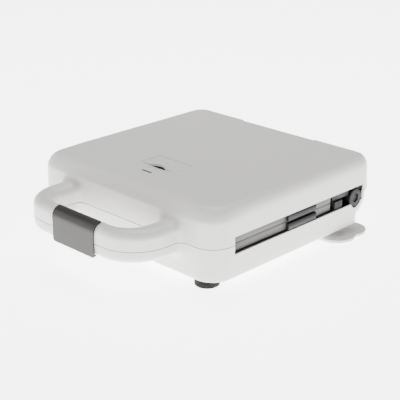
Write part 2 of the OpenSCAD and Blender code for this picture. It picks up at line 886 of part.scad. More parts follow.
// Closes the upper half from below and carries the latch's pin in two posts
module upper_handle_insert() {
  color(white) in_frame() difference() {
    union() {
      intersection() {
        difference() {
          upper_handle_bar(2.5, -0.3);
          box([-200, -300, lid_rim_z + 3], [200, 0, 100]);
        }
        box([-200, -300, 0], [200, front_y - 1, 100]);
      }
      for (s = [-1, 1])
        box([latch_x + s * 28 - 2.5, pivot_y - 4.5, lid_rim_z + 2], [latch_x + s * 28 + 2.5, pivot_y + 4.5, pivot_z + 4]);
    }
    bar_x(latch_x - 40, latch_x + 40, pivot_y, pivot_z, latch_pin_r);
    for (x = lug_x)
      box([x - lug_w / 2 - 0.5, -handle_front - 1, 40], [x + lug_w / 2 + 0.5, pivot_y + 5.5, pivot_z + 9]);
  }
}

module latch_pin() {
  color(steel) in_frame()
    bar_x(latch_x - pin_half, latch_x + pin_half, pivot_y, pivot_z, latch_pin_r);
}

// Torsion spring round the pin, between the lugs
module latch_spring() {
  color(steel) in_frame() {
    for (i = [0:5]) translate([latch_x - 6 + i * 1.3, pivot_y, pivot_z]) rotate([0, 90, 0])
      rotate_extrude() translate([3, 0]) circle(0.5, $fn = 16);
    translate([latch_x - 6, pivot_y, pivot_z]) rotate([0, 90, 0]) difference() {
      cylinder(r = 3.1, h = 6.5);
      translate([0, 0, -1]) cylinder(r = 2.6, h = 9);
    }
  }
}

latch_low = 34.7;

// Strap rolled round the bar, straight down its front, hooked under the base's half
module latch() {
  r_in = bar_t / 2 + latch_gap;
  r_out = r_in + latch_t;
  x0 = latch_x - latch_w / 2;
  color(charcoal) in_frame() difference() {
    union() {
      translate([x0, pivot_y, pivot_z]) rotate([90, 0, 90]) linear_extrude(latch_w) difference() {
        circle(r_out, $fn = 96);
        circle(r_in, $fn = 96);
        translate([0, -r_out - 1]) square([r_out + 2, 2 * r_out + 2]);
        translate([-r_out - 2, -r_out - 2]) square([2 * r_out, r_out + 2]);
      }
      box([x0, pivot_y - r_out, latch_low], [x0 + latch_w, pivot_y - r_in, pivot_z + eps]);
      box([x0, pivot_y - r_out, latch_low], [x0 + latch_w, pivot_y - 4.9, latch_low + 1.4]);
      for (x = lug_x) {
        bar_x(x - lug_w / 2, x + lug_w / 2, pivot_y, pivot_z, 4);
        box([x - lug_w / 2, pivot_y - r_in - 0.5, pivot_z - 4], [x + lug_w / 2, pivot_y, pivot_z]);
      }
    }
    bar_x(x0, x0 + latch_w, pivot_y, pivot_z, latch_pin_r + pin_clear);
    // Round the lower corners
    for (s = [-1, 1]) translate([latch_x + s * (latch_w / 2), 0, latch_low]) rotate([90, 0, 0])
      translate([0, 0, 190]) linear_extrude(40) difference() {
        translate([s < 0 ? -1 : -4, -1]) square([5, 5]);
        translate([-s * 4, 4]) circle(4);
      }
  }
}

// ---------- release clips ----------

// Thumb slide in the right cut-out: its nose holds the plate, its foot runs in the rail
module release_clip(reach, low, high) {
  rail_z = seam_z - rail_top;
  x0 = plate_hx + 0.5;
  r = 5;
  color(black) in_frame() {
    intersection() {
      union() {
        box([x0, -20, low], [reach, 31 - r, high]);
        translate([x0, 31 - r, low]) cylinder(r = r, h = high - low, $fn = 64);
      }
      box([x0, -20, low], [reach, 31, high]);
    }
    box([plate_hx - skirt_t + 0.2, 3, seam_z - half_gap - 6.4], [x0 + 0.1, 8, seam_z - half_gap - 3.9]);
    box([x0, -3, rail_z + 0.1], [reach - 1.5, 12, low + 0.1]);
    box([138.6, -1, rail_z + 0.1], [x0 + 0.1, 10, rail_z + 0.6]);
    box([140.2, 1, rail_z - rail_t - 0.6], [143.3, 10, rail_z + 0.2]);
    box([138.6, 1, rail_z - rail_t - 1.4], [145, 10, rail_z - rail_t - 0.5]);
  }
}

module lower_release_clip() {
  release_clip(149.6, 42.3, 50.2);
}

module upper_release_clip() {
  in_frame() above_seam() translate([0, -mid_y, 0]) release_clip(149.0, 42.9, 50.4);
}

base_shell();
base_frame();
lower_reflector();
lower_heater();
lower_heater_clamps();
lower_thermostat();
thermal_fuse();
lower_plate();
lower_plate_hooks();
terminal_block();
cord_gland();
base_wires();
hinge_bracket(false);  // hinge_bracket_left
hinge_bracket(true);  // hinge_bracket_right
hinge_pin(false);  // hinge_pin_left
hinge_pin(true);  // hinge_pin_right
front_foot(false);  // front_foot_left
front_foot(true);  // front_foot_right
rear_pad(false);  // rear_pad_left
rear_pad(true);  // rear_pad_right
cord_hook(false);  // cord_hook_left
cord_hook(true);  // cord_hook_right
base_screws();
lower_handle_insert();
lid_shell();
lid_frame();
upper_reflector();
upper_heater();
upper_heater_clamps();
upper_thermostat();
upper_plate();
upper_plate_hooks();
indicator_cover();
window_lens();
slit_lens();
lamp_board();
lamp(slit_y);  // power_lamp
lamp(cover_y0 + 6);  // ready_lamp
hinge_arm(false);  // hinge_arm_left
hinge_arm(true);  // hinge_arm_right
lid_wires();
lid_screws();
upper_handle_insert();
latch_pin();
latch_spring();
latch();
upper_release_clip();
lower_release_clip();
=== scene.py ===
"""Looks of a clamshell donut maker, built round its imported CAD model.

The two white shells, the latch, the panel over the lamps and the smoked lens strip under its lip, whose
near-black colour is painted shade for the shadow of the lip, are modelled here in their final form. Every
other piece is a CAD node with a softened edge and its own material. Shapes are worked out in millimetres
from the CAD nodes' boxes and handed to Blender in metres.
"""
import json
import math

import bmesh
import bpy
import numpy as np
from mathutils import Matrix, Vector


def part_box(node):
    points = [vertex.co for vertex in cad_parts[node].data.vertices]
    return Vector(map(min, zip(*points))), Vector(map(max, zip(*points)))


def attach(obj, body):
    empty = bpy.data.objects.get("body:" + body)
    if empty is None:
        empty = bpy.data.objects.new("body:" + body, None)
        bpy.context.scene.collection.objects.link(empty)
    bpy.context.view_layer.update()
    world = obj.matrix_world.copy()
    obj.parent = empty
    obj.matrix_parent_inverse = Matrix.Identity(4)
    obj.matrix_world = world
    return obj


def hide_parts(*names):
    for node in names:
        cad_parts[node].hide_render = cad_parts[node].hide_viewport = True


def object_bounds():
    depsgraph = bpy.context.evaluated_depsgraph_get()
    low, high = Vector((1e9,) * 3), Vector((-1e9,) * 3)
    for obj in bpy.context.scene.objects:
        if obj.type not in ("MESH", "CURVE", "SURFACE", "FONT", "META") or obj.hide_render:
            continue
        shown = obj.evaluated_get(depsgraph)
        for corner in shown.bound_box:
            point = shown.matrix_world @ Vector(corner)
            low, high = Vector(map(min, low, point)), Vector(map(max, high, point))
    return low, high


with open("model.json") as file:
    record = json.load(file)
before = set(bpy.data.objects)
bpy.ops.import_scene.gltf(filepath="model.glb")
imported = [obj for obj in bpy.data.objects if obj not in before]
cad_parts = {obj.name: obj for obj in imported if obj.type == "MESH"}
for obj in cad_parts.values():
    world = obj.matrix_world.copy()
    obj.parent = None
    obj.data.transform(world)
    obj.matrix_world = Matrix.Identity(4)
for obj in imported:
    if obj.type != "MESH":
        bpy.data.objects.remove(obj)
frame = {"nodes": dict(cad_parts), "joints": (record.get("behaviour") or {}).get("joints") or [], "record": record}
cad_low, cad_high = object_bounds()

MM = 0.001


def box_mm(node):
    """Lowest and highest corner of a CAD node in millimetres."""
    low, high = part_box(node)
    return low / MM, high / MM


# ---------------------------------------------------------------- sizes

LID_LOW, LID_HIGH = box_mm("lid_shell")
BASE_HIGH = box_mm("base_shell")[1]
LATCH_LOW, LATCH_HIGH = box_mm("latch")
COVER_LOW, COVER_HIGH = box_mm("indicator_cover")
SLIT_LOW, SLIT_HIGH = box_mm("slit_lens")
JOINTS = {joint["name"]: joint for joint in frame["joints"]}

HALF_WIDTH = LID_HIGH.x
REAR = LID_HIGH.y
BODY_DEPTH = 287.0
FRONT = REAR - BODY_DEPTH
LID_TOP = LID_HIGH.z
LID_RIM = LID_LOW.z
BASE_RIM = BASE_HIGH.z
BASE_FLOOR = 11.3
FRONT_CORNER = 28.0
REAR_CORNER = 24.0
LID_WALL = 1.8
BASE_WALL = 2.2

HANDLE_FRONT = LID_LOW.y
HANDLE_HALF = 100.0
HANDLE_CORNER = 48.3
GRIP_HALF = 70.5
GRIP_CORNER = 24.0
BAR = 20.1
ROOT_BLEND = 11.0
UPPER_SIDE_Z = 63.8
UPPER_RISE = 10.1
LOWER_SIDE_Z = 44.0
LOWER_RISE = 8.0

HINGE = Vector(JOINTS["lid_hinge"]["pos_m"]) / MM
LATCH_PIVOT = Vector(JOINTS["latch_pivot"]["pos_m"]) / MM

GRID = 1.7


# ---------------------------------------------------------------- distance fields, in millimetres

def smoothstep(low, high, value):
    t = np.clip((value - low) / (high - low), 0.0, 1.0)
    return t * t * (3.0 - 2.0 * t)


def smooth_min(a, b, k):
    h = np.maximum(k - np.abs(a - b), 0.0) / k
    return np.minimum(a, b) - h * h * k / 4.0


def rounded_box(x, y, half_x, y0, y1, radius):
    """Signed distance in plan to a rectangle with round corners. Its inside is smooth along the mitres."""
    qx = np.abs(x) - (half_x - radius)
    qy = np.abs(y - (y0 + y1) / 2) - ((y1 - y0) / 2 - radius)
    outside = np.hypot(np.maximum(qx, 0), np.maximum(qy, 0))
    inside = np.minimum(-smooth_min(-qx, -qy, 14.0), 0)
    return outside + inside - radius


def body_plan(x, y):
    """Signed distance in plan to the body's outline."""
    radius = FRONT_CORNER + (REAR_CORNER - FRONT_CORNER) * smoothstep(FRONT + 60, REAR - 60, y)
    return rounded_box(x, y, HALF_WIDTH, FRONT, REAR, radius)


def front_share(x, y):
    """1 where the nearest wall is the front, 0 at the sides and the rear, smooth round the corners."""
    reach = 60.0
    across = np.maximum(np.abs(x) - (HALF_WIDTH - FRONT_CORNER) + reach, 0.01)
    along = np.maximum(FRONT + FRONT_CORNER - y + reach, 0.01)
    return smoothstep(0.2, 0.8, along / (across + along))


class Profile:
    """Signed distance to an open outline of (inset, height) points, looked up in a fine table."""

    def __init__(self, points):
        curve = catmull_rom(points, 6)
        self.step = 0.4
        self.inset = np.arange(-14.0, 92.0, self.step)
        self.height = np.arange(curve[:, 1].min() - 14.0, curve[:, 1].max() + 14.0, self.step)
        u, v = np.meshgrid(self.inset, self.height, indexing="ij")
        best = np.full(u.shape, 1e9)
        sign = np.ones(u.shape)
        for a, b in zip(curve[:-1], curve[1:]):
            edge = b - a
            t = np.clip(((u - a[0]) * edge[0] + (v - a[1]) * edge[1]) / (edge @ edge), 0, 1)
            away = np.hypot(u - a[0] - t * edge[0], v - a[1] - t * edge[1])
            side = edge[0] * (v - a[1]) - edge[1] * (u - a[0])
            near = away < best - 1e-9
            best = np.where(near, away, best)
            sign = np.where(near, np.where(side > 0, 1.0, -1.0), sign)
        self.table = best * sign

    def __call__(self, inset, height):
        i = np.clip((inset - self.inset[0]) / self.step, 0, len(self.inset) - 1.001)
        j = np.clip((height - self.height[0]) / self.step, 0, len(self.height) - 1.001)
        i0, j0 = i.astype(int), j.astype(int)
        fi, fj = i - i0, j - j0
        t = self.table
        return ((t[i0, j0] * (1 - fi) + t[i0 + 1, j0] * fi) * (1 - fj)
                + (t[i0, j0 + 1] * (1 - fi) + t[i0 + 1, j0 + 1] * fi) * fj)


def catmull_rom(points, pieces):
    """Points of a smooth curve through the given ones. It is cut where it would overshoot."""
    p = np.array(points, float)
    ends = np.vstack([2 * p[0] - p[1], p, 2 * p[-1] - p[-2]])
    out = []
    for k in range(1, len(ends) - 2):
        a, b, c, d = ends[k - 1:k + 3]
        limit = np.hypot(*(c - b))
        into = (c - a) / np.hypot(*(c - a)) * limit
        leave = (d - b) / np.hypot(*(d - b)) * limit
        for s in np.linspace(0, 1, pieces, endpoint=False):
            h00, h10 = 2 * s**3 - 3 * s**2 + 1, s**3 - 2 * s**2 + s
            h01, h11 = -2 * s**3 + 3 * s**2, s**3 - s**2
            out.append(h00 * b + h10 * into + h01 * c + h11 * leave)
    out.append(p[-1])
    return np.array(out)


def handle_ring(x, y, z, side_z, rise, upwards):
    """Signed distance to half of the loop handle: straight sides, then a half-elliptical crown."""
    depth = 60.0
    outer = rounded_box(x, y, HANDLE_HALF, HANDLE_FRONT, FRONT + depth, HANDLE_CORNER)
    inner = rounded_box(x, y, GRIP_HALF, HANDLE_FRONT + BAR, FRONT + depth, GRIP_CORNER)
    half = np.maximum((inner - outer) / 2, 1.0)
    offset = (inner + outer) / 2
    over = np.maximum((z - side_z) if upwards else (side_z - z), 0.0)
    a, b = offset / half, over / rise
    reach = np.sqrt(a * a + b * b) + 1e-6
    slope = np.sqrt((a / half) ** 2 + (b / rise) ** 2) + 1e-6
    ring = reach * (reach - 1.0) / slope
    return np.maximum(ring, y - (FRONT + 22.0))


# ---------------------------------------------------------------- lid and base as fields

LID_SIDE = Profile([(-3, LID_RIM - 80), (0, LID_RIM), (1.0, 80), (1.3, 82.4), (1.7, 84.5), (2.5, 87),
                    (3.8, 89.5), (5.4, 91.6), (7.6, 93.4), (10.2, 94.7), (14, 95.5), (22, 96),
                    (42, 96.6), (75, LID_TOP), (100, LID_TOP)])
LID_FRONT = Profile([(-3, LID_RIM - 80), (0, LID_RIM), (0.5, 80), (1.2, 82.4), (2.8, 84.5), (5.1, 87),
                     (7.6, 89.5), (9.8, 91.6), (12, 93.4), (14.4, 94.7), (18, 95.5), (25, 96),
                     (44, 96.6), (75, LID_TOP), (100, LID_TOP)])
BASE_SIDE = Profile([(100, BASE_FLOOR), (6, BASE_FLOOR), (4.2, BASE_FLOOR + 0.1), (2.7, BASE_FLOOR + 0.8),
                     (1.9, BASE_FLOOR + 2.6), (0.8, 30), (0, BASE_RIM), (-3, BASE_RIM + 60)])

SCOOP_X = -2.0
SCOOP_DEPTH = 5.0
LIP_HOLLOW = 26.0
LIP_CENTRE_Y = COVER_LOW.y - 18.5


def scoop(x, y):
    """Depth of the recess that runs up to the panel's hollow front edge."""
    across = np.exp(-((x - SCOOP_X) / 15.0) ** 2)
    lip = LIP_CENTRE_Y + LIP_HOLLOW
    along = smoothstep(lip - 19.0, lip - 1.0, y) * (1.0 - smoothstep(lip + 4, lip + 12, y))
    return SCOOP_DEPTH * across * along


def lid_field(x, y, z):
    inset = -body_plan(x, y)
    sunk = z + scoop(x, y)
    share = front_share(x, y)
    body = LID_SIDE(inset, sunk) * (1 - share) + LID_FRONT(inset, sunk) * share
    handle = handle_ring(x, y, z, UPPER_SIDE_Z, UPPER_RISE, True)
    return smooth_min(body, handle, ROOT_BLEND)


TURN_RADIUS = REAR - LID_WALL - HINGE.y - 0.4
TURN_CORNER = REAR_CORNER - LID_WALL - 0.4
HEEL_TOP = 34.0
HEEL_REACH = 2.0


def rear_envelope(x, y, z):
    """Distance to all that the base may fill behind the hinge without meeting the opening lid."""
    radius = np.hypot(np.maximum(y - HINGE.y, 0.0), HINGE.z - z)
    qx = np.abs(x) - (HALF_WIDTH - REAR_CORNER)
    qr = radius - (TURN_RADIUS - TURN_CORNER)
    turned = np.hypot(np.maximum(qx, 0), np.maximum(qr, 0)) + np.minimum(np.maximum(qx, qr), 0) - TURN_CORNER
    ahead = np.clip((y - HINGE.y + 4.0) / (HEEL_REACH + 4.0), 0.0, 1.0)
    beside = np.abs(x) - (HALF_WIDTH + 1.0 - 2.5 * ahead)
    under = BASE_FLOOR - 6.0 + 7.0 * ahead - z
    heel = np.maximum(np.maximum(beside, under), np.maximum(z - HEEL_TOP, y - HINGE.y - HEEL_REACH))
    return np.minimum(smooth_min(turned, heel, 1.0), y - HINGE.y)


def base_field(x, y, z):
    body = BASE_SIDE(-body_plan(x, y), z)
    body = -smooth_min(-body, -rear_envelope(x, y, z), 2.0)
    handle = handle_ring(x, y, z, LOWER_SIDE_Z, LOWER_RISE, False)
    return smooth_min(body, handle, ROOT_BLEND)


# ---------------------------------------------------------------- surface from a field

def surface_net(field, low, high, step):
    """Vertices and quads of the field's zero surface inside a box, open where it leaves the box."""
    axes = [np.arange(a, b + step, step) for a, b in zip(low, high)]
    x, y, z = np.meshgrid(*axes, indexing="ij")
    value = field(x, y, z)
    inside = value < 0
    shape = np.array(value.shape) - 1
    total = np.zeros((*shape, 3))
    count = np.zeros(shape)
    for axis in range(3):
        others = [a for a in range(3) if a != axis]
        for step_a in (0, 1):
            for step_b in (0, 1):
                start = [0, 0, 0]
                start[others[0]], start[others[1]] = step_a, step_b
                end = list(start)
                end[axis] = 1
                here = tuple(slice(s, s + n) for s, n in zip(start, shape))
                there = tuple(slice(s, s + n) for s, n in zip(end, shape))
                v0, v1 = value[here], value[there]
                crosses = (v0 < 0) != (v1 < 0)
                t = np.where(crosses, v0 / np.where(crosses, v0 - v1, 1.0), 0.0)
                for a in range(3):
                    place = start[a] + (t if a == axis else 0.0)
                    total[..., a] += np.where(crosses, place, 0.0)
                count += crosses
    used = count > 0
    index = np.full(shape, -1)
    index[used] = np.arange(used.sum())
    cells = np.argwhere(used)
    vertices = np.array(low) + (cells + total[used] / count[used][:, None]) * step

    quads = []
    for axis in range(3):
        b, c = (axis + 1) % 3, (axis + 2) % 3
        size = np.array(value.shape)
        first = [slice(None)] * 3
        first[axis] = slice(0, size[axis] - 1)
        second = [slice(None)] * 3
        second[axis] = slice(1, size[axis])
        change = inside[tuple(first)] != inside[tuple(second)]
        inner = np.zeros_like(change)
        keep = [slice(None)] * 3
        keep[b], keep[c] = slice(1, size[b] - 1), slice(1, size[c] - 1)
        inner[tuple(keep)] = change[tuple(keep)]
        edges = np.argwhere(inner)
        leaving = inside[tuple(edges.T)]
        corners = []
        for db, dc in ((-1, -1), (0, -1), (0, 0), (-1, 0)):
            cell = edges.copy()
            cell[:, b] += db
            cell[:, c] += dc
            corners.append(index[tuple(cell.T)])
        quad = np.stack(corners, axis=1)
        quad[~leaving] = quad[~leaving][:, ::-1]
        quads.append(quad)
    return vertices, np.vstack(quads)


def settle(field, vertices, rounds=3):
    """Moves vertices onto the field's zero surface along its slope."""
    h = 0.05
    p = vertices.copy()
    for _ in range(rounds):
        value = field(*p.T)
        slope = np.stack([(field(*(p + h * e).T) - field(*(p - h * e).T)) / (2 * h) for e in np.eye(3)], 1)
        move = value / np.maximum((slope ** 2).sum(1), 0.2)
        p -= slope * np.clip(move, -1.0, 1.0)[:, None]
    return p


# ---------------------------------------------------------------- mesh helpers

def new_piece(name, vertices, faces):
    """A mesh object from points in millimetres."""
    mesh = bpy.data.meshes.new(name)
    mesh.from_pydata([tuple(v) for v in np.array(vertices) * MM], [], [tuple(f) for f in faces])
    mesh.validate()
    piece = bpy.data.objects.new(name, mesh)
    bpy.context.scene.collection.objects.link(piece)
    return piece


def new_field_piece(name, field, low, high):
    vertices, quads = surface_net(field, low, high, GRID)
    return new_piece(name, settle(field, vertices), quads)


def cut_flat(piece, height, keep_above):
    """Cuts the piece at a height in millimetres and drops what lies beyond it."""
    bm = bmesh.new()
    bm.from_mesh(piece.data)
    normal = Vector((0, 0, -1 if keep_above else 1))
    geometry = bm.verts[:] + bm.edges[:] + bm.faces[:]
    bmesh.ops.bisect_plane(bm, geom=geometry, dist=1e-6, plane_co=(0, 0, height * MM),
                           plane_no=normal, clear_outer=True)
    bmesh.ops.remove_doubles(bm, verts=bm.verts, dist=2e-5)
    bm.to_mesh(piece.data)
    bm.free()


def apply_modifiers(piece):
    """Turns the piece's modifiers into its mesh."""
    graph = bpy.context.evaluated_depsgraph_get()
    mesh = bpy.data.meshes.new_from_object(piece.evaluated_get(graph))
    piece.modifiers.clear()
    piece.data = mesh


def thicken(piece, wall):
    solid = piece.modifiers.new("wall", "SOLIDIFY")
    solid.thickness = wall * MM
    solid.offset = -1
    apply_modifiers(piece)


def soft_edges(piece, width, segments=2, angle=35, weld=False):
    """Rounds the piece's sharp edges by a width in millimetres and shades it smooth."""
    if weld:
        merge = piece.modifiers.new("weld", "WELD")
        merge.merge_threshold = 2e-6
    bevel = piece.modifiers.new("edges", "BEVEL")
    bevel.width = width * MM
    bevel.segments = segments
    bevel.limit_method = "ANGLE"
    bevel.angle_limit = math.radians(angle)
    bevel.harden_normals = True
    piece.data.shade_smooth()


def prism(name, outline, z0, z1):
    """Closed upright prism over an outline of (x, y) points that runs anticlockwise."""
    n = len(outline)
    vertices = [(x, y, z0) for x, y in outline] + [(x, y, z1) for x, y in outline]
    faces = [[i, (i + 1) % n, n + (i + 1) % n, n + i] for i in range(n)]
    faces += [list(range(n))[::-1], list(range(n, 2 * n))]
    return new_piece(name, vertices, faces)


def block(name, low, high):
    (x0, y0, z0), (x1, y1, z1) = low, high
    return prism(name, [(x0, y0), (x1, y0), (x1, y1), (x0, y1)], z0, z1)


def tube_x(name, x0, x1, y, z, radius, sides=64):
    """Closed cylinder along X, used as a cutter."""
    turn = [2 * math.pi * i / sides for i in range(sides)]
    vertices = [(x, y + radius * math.cos(a), z + radius * math.sin(a)) for x in (x0, x1) for a in turn]
    faces = [[i, (i + 1) % sides, sides + (i + 1) % sides, sides + i] for i in range(sides)]
    faces += [list(range(sides))[::-1], list(range(sides, 2 * sides))]
    return new_piece(name, vertices, faces)


def cut_away(piece, cutters):
    """Takes closed cutters out of a piece, one after another, and removes them."""
    for cutter in cutters:
        hole = piece.modifiers.new("hole", "BOOLEAN")
        hole.operation = "DIFFERENCE"
        hole.solver = "EXACT"
        hole.object = cutter
        apply_modifiers(piece)
        bpy.data.objects.remove(cutter)


def mirrored(make, *args):
    """Makes a cutter on the right and its mirror image on the left."""
    right = make(*args)
    left = right.copy()
    left.data = right.data.copy()
    for vertex in left.data.vertices:
        vertex.co.x *= -1
    left.data.flip_normals()
    bpy.context.scene.collection.objects.link(left)
    return [right, left]


# ---------------------------------------------------------------- materials

def plastic(name, colour, roughness, grain=0.02, grain_size=900, spread=0.05, coat=0.0, metallic=0.0,
            patch=18, wear=0.0, specular=0.5):
    """Moulded or coated finish: faint colour drift, uneven gloss, fine grain and worn edges."""
    material = bpy.data.materials.new(name)
    material.use_nodes = True
    nodes, links = material.node_tree.nodes, material.node_tree.links
    shader = nodes["Principled BSDF"]
    shader.inputs["Metallic"].default_value = metallic
    shader.inputs["Coat Weight"].default_value = coat
    shader.inputs["Specular IOR Level"].default_value = specular
    shader.inputs["Coat Roughness"].default_value = 0.12
    place = nodes.new("ShaderNodeTexCoord").outputs["Object"]

    drift = nodes.new("ShaderNodeTexNoise")
    drift.inputs["Scale"].default_value = patch
    drift.inputs["Detail"].default_value = 3
    links.new(place, drift.inputs["Vector"])
    tint = nodes.new("ShaderNodeMix")
    tint.data_type = "RGBA"
    tint.inputs["A"].default_value = (*[c * (1 - spread) for c in colour], 1)
    tint.inputs["B"].default_value = (*[min(c * (1 + spread), 1) for c in colour], 1)
    links.new(drift.outputs["Fac"], tint.inputs["Factor"])
    shade = tint.outputs["Result"]

    if wear:
        edge = nodes.new("ShaderNodeNewGeometry").outputs["Pointiness"]
        near_edge = nodes.new("ShaderNodeMapRange")
        near_edge.inputs["From Min"].default_value = 0.53
        near_edge.inputs["From Max"].default_value = 0.62
        near_edge.inputs["To Max"].default_value = wear
        links.new(edge, near_edge.inputs["Value"])
        worn = nodes.new("ShaderNodeMix")
        worn.data_type = "RGBA"
        worn.inputs["B"].default_value = (*[min(c * 1.6 + 0.04, 1) for c in colour], 1)
        links.new(near_edge.outputs["Result"], worn.inputs["Factor"])
        links.new(shade, worn.inputs["A"])
        shade = worn.outputs["Result"]
    links.new(shade, shader.inputs["Base Color"])

    gloss = nodes.new("ShaderNodeTexNoise")
    gloss.inputs["Scale"].default_value = patch * 4
    gloss.inputs["Detail"].default_value = 5
    links.new(place, gloss.inputs["Vector"])
    range_ = nodes.new("ShaderNodeMapRange")
    range_.inputs["To Min"].default_value = roughness * 0.85
    range_.inputs["To Max"].default_value = min(roughness * 1.15, 1)
    links.new(gloss.outputs["Fac"], range_.inputs["Value"])
    links.new(range_.outputs["Result"], shader.inputs["Roughness"])

    pebble = nodes.new("ShaderNodeTexNoise")
    pebble.inputs["Scale"].default_value = grain_size
    pebble.inputs["Detail"].default_value = 2
    links.new(place, pebble.inputs["Vector"])
    bump = nodes.new("ShaderNodeBump")
    bump.inputs["Strength"].default_value = grain
    bump.inputs["Distance"].default_value = 0.0003
    links.new(pebble.outputs["Fac"], bump.inputs["Height"])
    links.new(bump.outputs["Normal"], shader.inputs["Normal"])
    return material


def brushed(name, colour, roughness):
    """Sheet steel with fine drawn lines along X."""
    material = plastic(name, colour, roughness, grain=0.05, metallic=1.0)
    nodes, links = material.node_tree.nodes, material.node_tree.links
    stretch = nodes.new("ShaderNodeMapping")
    stretch.inputs["Scale"].default_value = (12, 900, 900)
    links.new(nodes.new("ShaderNodeTexCoord").outputs["Object"], stretch.inputs["Vector"])
    lines = nodes.new("ShaderNodeTexNoise")
    lines.inputs["Scale"].default_value = 1.0
    links.new(stretch.outputs["Vector"], lines.inputs["Vector"])
    bump = next(n for n in nodes if n.type == "BUMP")
    links.new(lines.outputs["Fac"], bump.inputs["Height"])
    return material


def clear_lens(name, colour, transmission):
    material = plastic(name, colour, 0.08, grain=0.01)
    material.node_tree.nodes["Principled BSDF"].inputs["Transmission Weight"].default_value = transmission
    return material


MATERIALS = {
    "white_plastic": plastic("satin_white", (0.66, 0.652, 0.632), 0.36, grain=0.035, spread=0.008),
    "cover_plastic": plastic("polished_white", (0.68, 0.672, 0.652), 0.22, grain=0.012, spread=0.006),
    "black_plastic": plastic("satin_black", (0.010, 0.0098, 0.0095), 0.5, grain=0.06, wear=0.15,
                             specular=0.18),
    "latch_plastic": plastic("warm_charcoal", (0.026, 0.024, 0.021), 0.38, grain=0.09, grain_size=1400,
                             wear=0.3, specular=0.3),
    "coated_plate": plastic("nonstick_coat", (0.07, 0.068, 0.062), 0.48, grain=0.2, grain_size=1800,
                            spread=0.12, wear=0.25),
    "sheet_steel": brushed("zinc_steel", (0.62, 0.62, 0.61), 0.34),
    "heater_sheath": plastic("oxide_sheath", (0.12, 0.105, 0.09), 0.45, grain=0.15, spread=0.25,
                             metallic=0.8),
    "ceramic": plastic("steatite", (0.74, 0.70, 0.62), 0.55, grain=0.12, spread=0.04),
    "wire_sleeve": plastic("silicone_sleeve", (0.62, 0.59, 0.53), 0.5, grain=0.08, spread=0.05),
    "foot_rubber": plastic("black_rubber", (0.010, 0.010, 0.010), 0.7, grain=0.25, grain_size=1500,
                           spread=0.2, specular=0.15),
    # Near-black. On the strip under the panel's lip this colour is painted shade.
    "smoked_lens": plastic("smoked_lens", (0.008, 0.007, 0.006), 0.25, grain=0.01, specular=0.2),
    "lamp_glass": clear_lens("amber_glass", (0.85, 0.42, 0.18), 0.7),
    "circuit_board": plastic("green_laminate", (0.03, 0.13, 0.06), 0.4, grain=0.1, spread=0.15),
}


def dress(piece, slot):
    piece.data.materials.clear()
    piece.data.materials.append(MATERIALS[slot])


def add(piece, body, slot, *replaced):
    """Gives a new piece its body, finish and the CAD nodes that it stands for."""
    dress(piece, slot)
    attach(piece, body)
    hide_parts(*replaced)


# ---------------------------------------------------------------- camera, floor and light

def make_camera():
    """The camera stands where its solved view of the body puts it."""
    azimuth, elevation = math.radians(44.512), math.radians(21.338)
    back = Vector((math.sin(azimuth) * math.cos(elevation), -math.cos(azimuth) * math.cos(elevation),
                   math.sin(elevation)))
    camera = bpy.data.objects.new("camera", bpy.data.cameras.new("camera"))
    camera.data.sensor_width = 36
    camera.data.lens = 95.61
    camera.data.clip_start = 0.05
    camera.location = (0.85723, -0.847365, 0.51365)
    camera.rotation_mode = "QUATERNION"
    camera.rotation_quaternion = (-back).to_track_quat("-Z", "Y")
    bpy.context.scene.collection.objects.link(camera)
    bpy.context.scene.camera = camera


def make_floor():
    size = 6.0
    mesh = bpy.data.meshes.new("floor")
    mesh.from_pydata([(-size, -size, 0), (size, -size, 0), (size, size, 0), (-size, size, 0)], [],
                     [(0, 1, 2, 3)])
    floor = bpy.data.objects.new("floor", mesh)
    floor.location.z = cad_low.z - 0.0002
    bpy.context.scene.collection.objects.link(floor)
    material = bpy.data.materials.new("floor")
    material.use_nodes = True
    material.node_tree.nodes["Principled BSDF"].inputs["Base Color"].default_value = (0.93, 0.93, 0.93, 1)
    material.node_tree.nodes["Principled BSDF"].inputs["Roughness"].default_value = 0.9
    material.node_tree.nodes["Principled BSDF"].inputs["Emission Color"].default_value = (1, 1, 1, 1)
    material.node_tree.nodes["Principled BSDF"].inputs["Emission Strength"].default_value = 5.0
    mesh.materials.append(material)


def area_light(name, place, target, size, power):
    light = bpy.data.lights.new(name, "AREA")
    light.shape = "SQUARE"
    light.size = size
    light.energy = power
    lamp = bpy.data.objects.new(name, light)
    lamp.location = place
    lamp.rotation_mode = "QUATERNION"
    lamp.rotation_quaternion = (Vector(target) - Vector(place)).to_track_quat("-Z", "Y")
    bpy.context.scene.collection.objects.link(lamp)


def make_light():
    world = bpy.data.worlds.new("studio")
    bpy.context.scene.world = world
    world.use_nodes = True
    world.node_tree.nodes["Background"].inputs["Color"].default_value = (1, 1, 1, 1)
    world.node_tree.nodes["Background"].inputs["Strength"].default_value = 0.4
    area_light("top_light", (-0.3, 0.5, 1.7), (0, 0, 0.05), 1.2, 36)
    area_light("left_light", (-1.3, -1.2, 0.8), (0, -0.05, 0.05), 1.0, 9)


# ---------------------------------------------------------------- lid

GAP_FRONT = HINGE.y - 218.0
GAP_REAR = HINGE.y + 12.0
SEAM = (LID_RIM + BASE_RIM) / 2
GAP_ABOVE = 9.6
GAP_BELOW = 10.9


def cover_outline(grow):
    """Outline of the panel: straight sides and back, and a front edge that dips back in the middle."""
    x0, x1 = COVER_LOW.x - grow, COVER_HIGH.x + grow
    y0, y1 = COVER_LOW.y - grow, COVER_HIGH.y + grow
    corner = 1.2
    points = []
    for cx, cy, start in ((x1 - corner, y1 - corner, 0), (x0 + corner, y1 - corner, 90)):
        points += [(cx + corner * math.cos(math.radians(start + a)),
                    cy + corner * math.sin(math.radians(start + a))) for a in (0, 30, 60, 90)]
    for i in range(41):
        x = x0 + (x1 - x0) * i / 40
        dip = 7.6 * math.exp(-((x - SCOOP_X) / 12.0) ** 2)
        points.append((x, y0 + dip))
    return points


